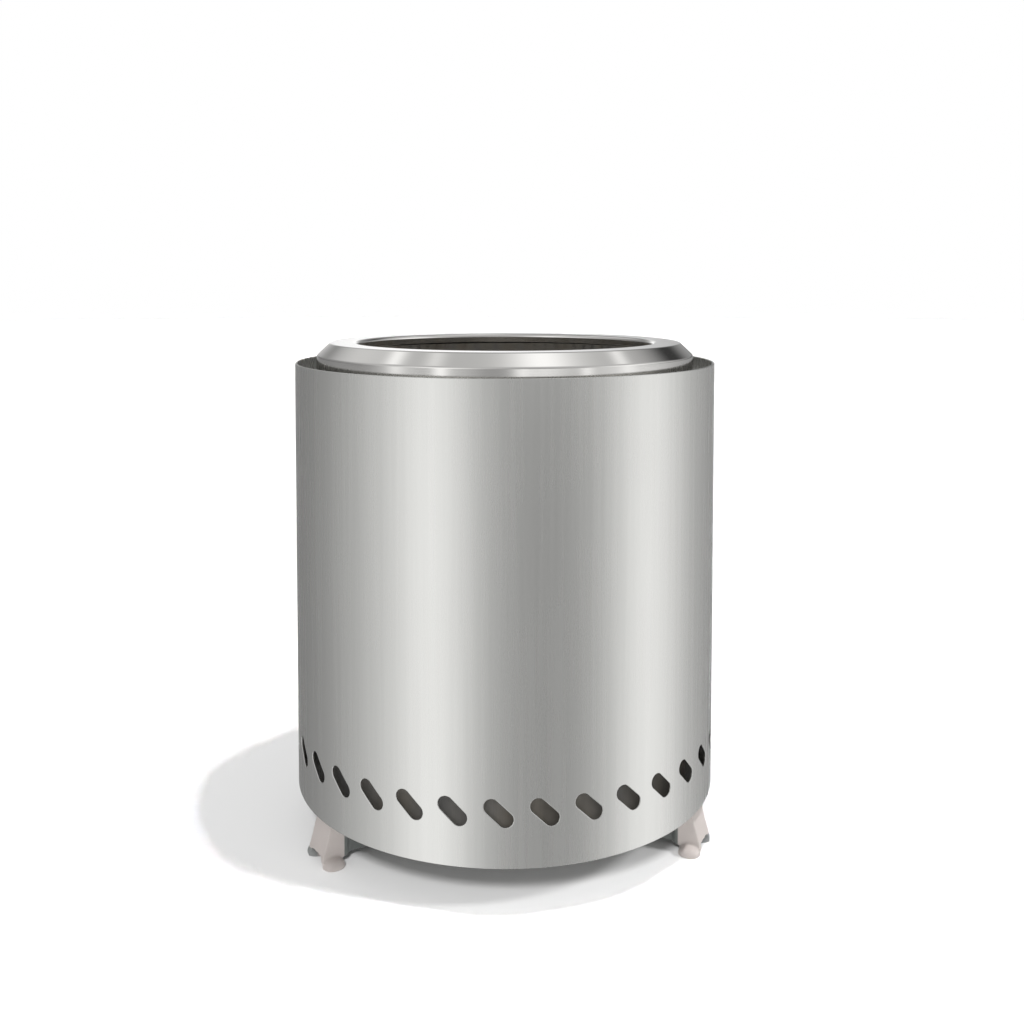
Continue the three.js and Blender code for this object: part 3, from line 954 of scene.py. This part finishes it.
@dataclass
class StoveBody(SheetWork):
    """The drum: both walls, the flange between them, the floor, the shield and the ledge."""

    edge: float = 0.32 * MM
    drum_sheet: float = 0.8 * MM
    slots: Holes = Holes(
        count=33,
        length=12.9 * MM,
        width=5.9 * MM,
        band=17 * MM,
        columns=8,
        straight_cuts=4,
        slant=math.radians(43),
    )
    slot_rise: float = 20.8 * MM
    chamber_sheet: float = 0.8 * MM
    intakes: Holes = Holes(count=24, length=7 * MM, width=7 * MM, band=16 * MM, columns=12)
    intake_drop: float = 9 * MM
    jets: Holes = Holes(count=36, length=5 * MM, width=5 * MM, band=12 * MM, columns=8)
    jet_drop: float = 11 * MM
    flange_sheet: float = 1 * MM
    flange_width: float = 9.2 * MM
    base_sheet: float = 1 * MM
    base_dish: float = 4 * MM
    base_ring_width: float = 27 * MM
    base_ramp_run: float = 5 * MM
    shield_sheet: float = 0.8 * MM
    ledge_sheet: float = 1 * MM
    ledge_mouth: float = 55.5 * MM
    ledge_lip: float = 2.5 * MM
    corner: float = 1.4 * MM
    standoff_count: int = 3
    standoff_bore: float = 1.9 * MM
    shank: float = 1.6 * MM
    head_height: float = 1.2 * MM
    head_bevel: float = 0.5 * MM

    def build(self) -> None:
        """Build every piece of the drum."""
        self.drum()
        self.chamber()
        self.flange()
        self.base()
        self.shield()
        self.ledge()
        self.shield_fasteners()

    def drum(self) -> None:
        """Build the outer wall with its row of slanted air slots."""
        extent = Extent.of("outer_wall")
        slots = self.slots.at(extent.bottom + self.slot_rise)
        self.pierced_piece("outer_wall", Slot.BRUSHED, extent.side(), [slots], self.drum_sheet)

    def chamber(self) -> None:
        """Build the burn chamber's wall with its air intakes and jets."""
        side = Extent.of("inner_wall").side()
        intakes = self.intakes.at(Extent.of("grate_ledge").top - self.intake_drop)
        jets = self.jets.at(Extent.of("air_flange").top - self.jet_drop)
        self.pierced_piece("inner_wall", Slot.CHAMBER, side, [intakes, jets], self.chamber_sheet)

    def flange(self) -> None:
        """Build the pressed ring between the walls."""
        extent = Extent.of("air_flange")
        inside = extent.radius - self.flange_width
        mouth = [Bend(inside, extent.top, self.corner), Bend(inside, extent.bottom)]
        bends = [*extent.side(self.corner), *mouth]
        self.sheet_piece("air_flange", Slot.PRESSED, bends, self.flange_sheet)

    def base(self) -> None:
        """Build the dished floor of the drum."""
        extent = Extent.of("base_plate")
        ring_start = extent.radius - self.base_ring_width
        dish = extent.bottom + self.base_dish
        bends = [
            Bend(0.0, dish),
            Bend(ring_start - self.base_ramp_run, dish, self.corner),
            Bend(ring_start, extent.bottom, self.corner),
            Bend(extent.radius, extent.bottom, self.corner),
            Bend(extent.radius, extent.top),
        ]
        self.sheet_piece("base_plate", Slot.PRESSED, bends, self.base_sheet)

    def shield(self) -> None:
        """Build the heat shield with its turned-down rim."""
        extent = Extent.of("heat_shield")
        bends = [*extent.side(self.corner), Bend(0.0, extent.top)]
        self.sheet_piece("heat_shield", Slot.CHAMBER, bends, self.shield_sheet)

    def ledge(self) -> None:
        """Build the ledge that carries the ash pan."""
        extent = Extent.of("grate_ledge")
        inside, lip = self.ledge_mouth, extent.top - self.ledge_lip
        mouth = [Bend(inside, extent.top, self.corner), Bend(inside, lip)]
        bends = [*extent.side(self.corner), *mouth]
        self.sheet_piece("grate_ledge", Slot.CHAMBER, bends, self.ledge_sheet)

    def shield_fasteners(self) -> None:
        """Build the tubes and rivets that hold the shield."""
        maker = Rivets(self.finishes, self.body)
        for number in range(1, self.standoff_count + 1):
            maker.collar(f"shield_standoff_{number}", self.standoff_bore)
            maker.rivet(f"shield_rivet_{number}", self.shank, self.head_height, self.head_bevel)


@dataclass
class FireRing(SheetWork):
    """The bevelled ring that is spun from one sheet and lifts off the rim."""

    sheet: float = 1 * MM
    bevel_rise: float = 5.2 * MM
    bevel_run: float = 5.7 * MM
    top_width: float = 11.5 * MM
    bevel_corner: float = 0.45 * MM
    mouth_corner: float = 1.5 * MM
    mouth_hem: float = 4 * MM
    half_taper: float = 0.31 * MM
    hold: float = 0.12 * MM

    def build(self) -> None:
        """Build the ring."""
        extent = Extent.of("fire_ring")
        shoulder = extent.radius - self.bevel_run
        mouth = shoulder - self.top_width
        bends = [
            Bend(extent.radius + self.half_taper, extent.bottom),
            Bend(extent.radius - self.half_taper, extent.top - self.bevel_rise, self.bevel_corner),
            Bend(shoulder, extent.top, self.bevel_corner),
            Bend(mouth, extent.top, self.mouth_corner),
            Bend(mouth, extent.top - self.mouth_hem),
        ]
        self.sheet_piece("fire_ring", Slot.SPUN, held(bends, self.hold), self.sheet)


@dataclass
class AshPan(SheetWork):
    """The lift-out pan with level air slots in its side."""

    sheet: float = 0.8 * MM
    slots: Holes = Holes(
        count=12, length=15 * MM, width=5 * MM, band=10 * MM, columns=12, straight_cuts=8
    )
    bottom_bevel: float = 3 * MM
    flange_width: float = 7.5 * MM
    corner: float = 1.3 * MM

    def build(self) -> None:
        """Build the pan."""
        extent = Extent.of("ash_pan")
        wall = extent.radius - self.flange_width
        flange = extent.top - self.sheet
        bevel_top = extent.bottom + self.bottom_bevel
        bends = [
            Bend(0.0, extent.bottom),
            Bend(wall - self.bottom_bevel, extent.bottom, self.corner),
            Bend(wall, bevel_top, self.corner),
            Bend(wall, flange, self.corner),
            Bend(extent.radius, flange),
        ]
        slots = self.slots.at((bevel_top + flange) / 2)
        self.pierced_piece("ash_pan", Slot.CHAMBER, bends, [slots], self.sheet)


@dataclass
class FireGrate:
    """The flat disc with rings of ash holes, which lies on the pan."""

    finishes: Finishes
    body: Body
    segments: int = 144
    hole_segments: int = 24
    ring_count: int = 4
    holes_per_ring: int = 6
    hole_diameter: float = 6.5 * MM
    edge_margin: float = 9 * MM
    edge: float = 0.3 * MM

    def hole_middles(self, radius: float) -> list[Vector]:
        """Work out where the holes are.

        Args:
            radius: the disc's radius.

        Returns:
            The middle of every hole.
        """
        step = (radius - self.edge_margin) / self.ring_count
        middles = [ORIGIN]
        for ring in range(1, self.ring_count + 1):
            count = self.holes_per_ring * ring
            start = Vector((0.0, -ring * step, 0.0))
            turns = (Matrix.Rotation(FULL_TURN * index / count, 3, "Z") for index in range(count))
            middles += [turn @ start for turn in turns]
        return middles

    def build(self) -> None:
        """Build the grate."""
        extent = Extent.of("fire_grate")
        mesh = bmesh.new()
        bmesh.ops.create_circle(mesh, radius=extent.radius, segments=self.segments)
        hole = {"radius": self.hole_diameter / 2, "segments": self.hole_segments}
        for middle in self.hole_middles(extent.radius):
            bmesh.ops.create_circle(mesh, matrix=Matrix.Translation(middle), **hole)
        bmesh.ops.triangle_fill(mesh, edges=mesh.edges, use_beauty=True)
        bmesh.ops.translate(mesh, verts=mesh.verts, vec=UP * extent.bottom)
        raised = bmesh.ops.extrude_face_region(mesh, geom=mesh.faces[:], use_keep_orig=True)
        top = [item for item in raised["geom"] if isinstance(item, bmesh.types.BMVert)]
        bmesh.ops.translate(mesh, verts=top, vec=UP * (extent.top - extent.bottom))
        bmesh.ops.recalc_face_normals(mesh, faces=mesh.faces)
        item = Piece("fire_grate", self.body, Slot.CHAMBER).publish(mesh, self.finishes)
        soften(item, self.edge)


def cut(mesh: Mesh, faces: Sequence, place: Vector, away: Vector) -> None:
    """Cut part of a closed skin off and close it again.

    Args:
        mesh: the skin.
        faces: the faces of the part.
        place: a point of the cut.
        away: the direction of what is lost.
    """
    edges = {edge for face in faces for edge in face.edges}
    verts = {vert for face in faces for vert in face.verts}
    part = [*verts, *edges, *faces]
    bmesh.ops.bisect_plane(mesh, geom=part, plane_co=place, plane_no=away, clear_outer=True)
    rim = [edge for edge in mesh.edges if edge.is_boundary]
    bmesh.ops.holes_fill(mesh, edges=rim)


@dataclass
class Stand:
    """The folding stand: three pressed arms with claw feet on one rivet."""

    finishes: Finishes
    voxel: float = 0.4 * MM
    smooth_factor: float = 0.5
    smooth_passes: int = 6
    shank: float = 2.5 * MM
    head_height: float = 1.4 * MM
    head_bevel: float = 0.5 * MM
    washer_bore: float = 2.9 * MM
    front_turn: float = math.radians(60)
    foot_start: float = 78 * MM
    cheek: float = 6.9 * MM
    pad_middle: Numbers = (86.8 * MM, 7.3 * MM, 0.9 * MM)
    pad_reach: Numbers = (4.4 * MM, 4.0 * MM, 3.0 * MM)
    pad_roundness: float = 0.9
    pad_segments: int = 32

    def build(self) -> None:
        """Build the arms and their pivot."""
        self.arm("stand_arm_back", Body.STAND, math.pi)
        self.arm("stand_arm_left", Body.LEFT_ARM, -self.front_turn)
        self.arm("stand_arm_right", Body.RIGHT_ARM, self.front_turn)
        maker = Rivets(self.finishes, Body.STAND)
        maker.rivet("pivot_rivet", self.shank, self.head_height, self.head_bevel)
        maker.collar("pivot_washer_upper", self.washer_bore)
        maker.collar("pivot_washer_lower", self.washer_bore)

    def pad(self, side: int) -> Mesh:
        """Make a round pad with a flat sole.

        Args:
            side: 1 or -1, the side of the arm that it is on.

        Returns:
            The pad on an arm that points along X.
        """
        out, across, up = self.pad_middle
        place = Matrix.Translation((out, across * side, up)) @ Matrix.Diagonal((*self.pad_reach, 1.0))
        pad = bmesh.new()
        rows = self.pad_segments // 2
        bmesh.ops.create_uvsphere(pad, u_segments=self.pad_segments, v_segments=rows, radius=1.0)
        for vert in pad.verts:
            vert.co = [math.copysign(abs(part) ** self.pad_roundness, part) for part in vert.co]
        bmesh.ops.transform(pad, matrix=place, verts=pad.verts)
        cut(pad, pad.faces, ORIGIN, -UP)
        return pad

    def blank(self, node: str, turn: float) -> Mesh:
        """Copy an arm from the frame and change its square toes for round pads.

        Args:
            node: the arm's CAD node.
            turn: where the arm points, from the front towards +X.

        Returns:
            The arm, still with sharp bends.
        """
        blank = bmesh.new()
        blank.from_mesh(frame["nodes"][node].data)
        bmesh.ops.remove_doubles(blank, verts=blank.verts, dist=WELD_DISTANCE)
        outwards = Matrix.Rotation(turn - math.pi / 2, 4, "Z")
        bmesh.ops.transform(blank, matrix=outwards.inverted(), verts=blank.verts)
        for side in (1, -1):
            reaches = {
                face: max(vert.co.y * side for vert in face.verts)
                for face in blank.faces
                if min(vert.co.x for vert in face.verts) > self.foot_start
            }
            toe = [face for face, reach in reaches.items() if reach > self.cheek]
            cut(blank, toe, Vector((0.0, self.cheek * side, 0.0)), Vector((0.0, side, 0.0)))
            absorb(blank, self.pad(side))
        bmesh.ops.transform(blank, matrix=outwards, verts=blank.verts)
        return blank

    def arm(self, node: str, body: Body, turn: float) -> None:
        """Build one arm with the soft bends of pressed sheet.

        Args:
            node: the arm's CAD node.
            body: the body that it rides on.
            turn: where the arm points, from the front towards +X.
        """
        data = poured("blank", self.blank(node, turn))
        carrier = shown("blank", data)
        remesh = carrier.modifiers.new("skin", "REMESH")
        remesh.mode = "VOXEL"
        remesh.voxel_size = self.voxel
        smooth = carrier.modifiers.new("press", "SMOOTH")
        smooth.factor = self.smooth_factor
        smooth.iterations = self.smooth_passes
        shape = carrier.evaluated_get(bpy.context.evaluated_depsgraph_get()).to_mesh()
        pressed = bmesh.new()
        pressed.from_mesh(shape)
        bpy.data.objects.remove(carrier)
        bpy.data.meshes.remove(data)
        Piece(node, body, Slot.COATING).publish(pressed, self.finishes)


def pointing(azimuth: float, elevation: float) -> Vector:
    """Turn two angles into a direction.

    Args:
        azimuth: the angle from the front towards +X, in degrees.
        elevation: the angle above the floor, in degrees.

    Returns:
        The direction, one long.
    """
    turn, tilt = math.radians(azimuth), math.radians(elevation)
    level = math.cos(tilt)
    return Vector((math.sin(turn) * level, -math.cos(turn) * level, math.sin(tilt)))


@dataclass(frozen=True)
class SoftBand:
    """A tall soft light at one side of the studio, as the metal sees it."""

    azimuth: float
    spread: float
    level: float

    def light(self, nodes: Nodes, azimuth: Socket) -> Socket:
        """Work out its light on a mirrored ray.

        Args:
            nodes: the world's nodes.
            azimuth: where the ray goes, from the front towards +X.

        Returns:
            The light.
        """
        away = nodes.math("SUBTRACT", azimuth, math.radians(self.azimuth))
        share = nodes.math("DIVIDE", away, math.radians(self.spread))
        fall = nodes.times(nodes.times(share, share), BELL_FALL)
        return nodes.times(nodes.math("EXPONENT", fall), self.level)


@dataclass(frozen=True)
class SoftSpot:
    """A round soft light as the metal sees it, or a dark flag where its level is below zero."""

    azimuth: float
    elevation: float
    tightness: float
    level: float

    def light(self, nodes: Nodes, direction: Socket) -> Socket:
        """Work out its light on a mirrored ray that goes in a direction."""
        facing = nodes.above_zero(nodes.dot(direction, pointing(self.azimuth, self.elevation)))
        return nodes.times(nodes.math("POWER", facing, self.tightness), self.level)


@dataclass(frozen=True)
class KeyLight:
    """A distant lamp, which the metal doesn't mirror."""

    name: str
    azimuth: float
    elevation: float
    level: float
    angle: float
    only: str = ""

    def hang(self) -> None:
        """Put the lamp up, and let it light one object only if it names one."""
        lamp = bpy.data.lights.new(self.name, "SUN")
        lamp.energy = self.level
        lamp.angle = math.radians(self.angle)
        item = shown(self.name, lamp)
        towards = pointing(self.azimuth, self.elevation)
        item.rotation_euler = towards.to_track_quat("Z", "Y").to_euler()
        item.visible_glossy = False
        if self.only:
            lit = bpy.data.collections.new(f"{self.name}_lights")
            lit.objects.link(bpy.data.objects[self.only])
            item.light_linking.receiver_collection = lit


@dataclass
class Studio:
    """The pale floor, the soft light and the camera."""

    even_light: float = 0.64
    wall_level: float = 0.24
    wall_bands: Sequence[SoftBand] = (
        SoftBand(-40.5, 13.6, 0.55),
        SoftBand(-55.3, 34.8, 0.50),
        SoftBand(76.3, 16.0, 0.62),
        SoftBand(85.3, 38.0, 0.36),
    )
    wall_fade: Numbers = (0.3, 0.6)
    slit_level: float = 0.123
    slit_bands: Sequence[SoftBand] = (
        SoftBand(-70.6, 4.2, 0.37),
        SoftBand(-69.3, 13.4, 0.55),
        SoftBand(-41.4, 3.8, 0.62),
        SoftBand(-32.4, 14.2, 0.43),
        SoftBand(5.5, 3.5, 0.38),
        SoftBand(15.1, 12.4, 0.73),
        SoftBand(44.4, 3.1, 0.47),
        SoftBand(60.2, 27.9, 0.62),
        SoftBand(72.6, 4.8, 0.34),
    )
    slit_bottom: Numbers = (-0.02, 0.0)
    slit_top: Numbers = (0.055, 0.085, 1.0, 0.0)
    ceiling_level: float = 0.581
    spots: Sequence[SoftSpot] = (
        SoftSpot(180, 3, 40, 0.95),
        SoftSpot(-121.5, 53, 456, 0.60),
        SoftSpot(-107.3, 67.4, 521, 0.32),
        SoftSpot(-138, 40, 22, 0.16),
        SoftSpot(-150, 25, 91, 0.10),
        SoftSpot(86, 78, 52, 0.70),
        SoftSpot(100, 64, 121, 0.04),
        SoftSpot(115.8, 50.7, 600, 0.53),
        SoftSpot(138, 29, 29, -0.44),
        SoftSpot(180, 48, 20, -0.5),
        SoftSpot(-162, 12, 121, 0.12),
    )
    darkest: float = 0.05
    keys: Sequence[KeyLight] = (
        KeyLight("key_right", 70.5, 74.8, 1.75, 4.0),
        KeyLight("floor_front", -10.0, 40.0, 2.55, 10.0, only="floor"),
        KeyLight("floor_side", 68.0, 36.0, 1.8, 8.0, only="floor"),
        KeyLight("slot_fill", -5.0, 30.0, 0.9, 30.0, only="inner_wall_formed"),
    )
    floor_radius: float = 6.0
    floor_segments: int = 96
    floor_colour: Numbers = (0.7, 0.7, 0.7, 1.0)
    camera_place: Numbers = (-0.0345, -0.4938, 0.2345)
    camera_tilt: float = math.radians(87)
    camera_turn: float = math.radians(-4)
    camera_lens: float = 40.0
    camera_sensor: float = 36.0
    camera_shift: Numbers = (0.007, -0.172)

    def build(self) -> None:
        """Set up the whole studio."""
        bpy.context.scene.view_settings.view_transform = "Standard"
        self.room()
        self.floor()
        for key in self.keys:
            key.hang()
        self.camera()

    def room(self) -> None:
        """Light the stove from all round, with the soft lights that the metal mirrors."""
        world = bpy.data.worlds.new("studio")
        bpy.context.scene.world = world
        world.use_nodes = True
        nodes = Nodes(world.node_tree)
        direction = nodes.add("ShaderNodeTexCoord").outputs["Generated"]
        path = nodes.add("ShaderNodeLightPath").outputs
        level = nodes.total(
            path["Is Camera Ray"],
            path["Is Transmission Ray"],
            nodes.times(path["Is Glossy Ray"], self.mirrored(nodes, direction)),
            nodes.times(path["Is Diffuse Ray"], self.even_light),
        )
        background = nodes.add("ShaderNodeBackground", WHITE, level)
        nodes.add("ShaderNodeOutputWorld", background.outputs[0])
        world.cycles.sampling_method = "NONE"

    def mirrored(self, nodes: Nodes, direction: Socket) -> Socket:
        """Work out what the metal sees of the studio.

        Args:
            nodes: the world's nodes.
            direction: where a mirrored ray goes.

        Returns:
            The light.
        """
        x, y, z = nodes.split(direction)
        azimuth = nodes.math("ARCTAN2", x, nodes.times(y, -1.0))
        walls = nodes.total(self.wall_level, *(band.light(nodes, azimuth) for band in self.wall_bands))
        slit = nodes.total(self.slit_level, *(band.light(nodes, azimuth) for band in self.slit_bands))
        room = nodes.mix(nodes.remap(z, *self.wall_fade), walls, self.ceiling_level)
        low = nodes.times(nodes.remap(z, *self.slit_bottom), nodes.remap(z, *self.slit_top))
        spots = (spot.light(nodes, direction) for spot in self.spots)
        return nodes.math("MAXIMUM", nodes.total(nodes.mix(low, room, slit), *spots), self.darkest)

    def floor(self) -> None:
        """Lay the pale floor."""
        mesh = bmesh.new()
        bmesh.ops.create_circle(mesh, cap_ends=True, radius=self.floor_radius, segments=self.floor_segments)
        data = poured("floor", mesh)
        paper = bpy.data.materials.new("floor_paper")
        paper.use_nodes = True
        nodes = Nodes(paper.node_tree)
        surface = nodes.add("ShaderNodeBsdfDiffuse", self.floor_colour)
        nodes.add("ShaderNodeOutputMaterial", surface.outputs[0])
        data.materials.append(paper)
        item = shown("floor", data)
        item.visible_glossy = False

    def camera(self) -> None:
        """Set the camera up where the photograph was taken from."""
        lens = bpy.data.cameras.new("camera")
        lens.lens = self.camera_lens
        lens.sensor_width = self.camera_sensor
        lens.shift_x, lens.shift_y = self.camera_shift
        item = shown("camera", lens)
        item.location = self.camera_place
        item.rotation_euler = (self.camera_tilt, 0.0, self.camera_turn)
        bpy.context.scene.camera = item


def main() -> None:
    """Build the stove and its studio."""
    logging.basicConfig(level=logging.INFO)
    finishes = mixed_finishes()
    StoveBody(finishes, Body.STOVE).build()
    FireRing(finishes, Body.RING).build()
    AshPan(finishes, Body.PAN).build()
    FireGrate(finishes, Body.GRATE).build()
    Stand(finishes).build()
    Studio().build()


if __name__ == "__main__":
    main()
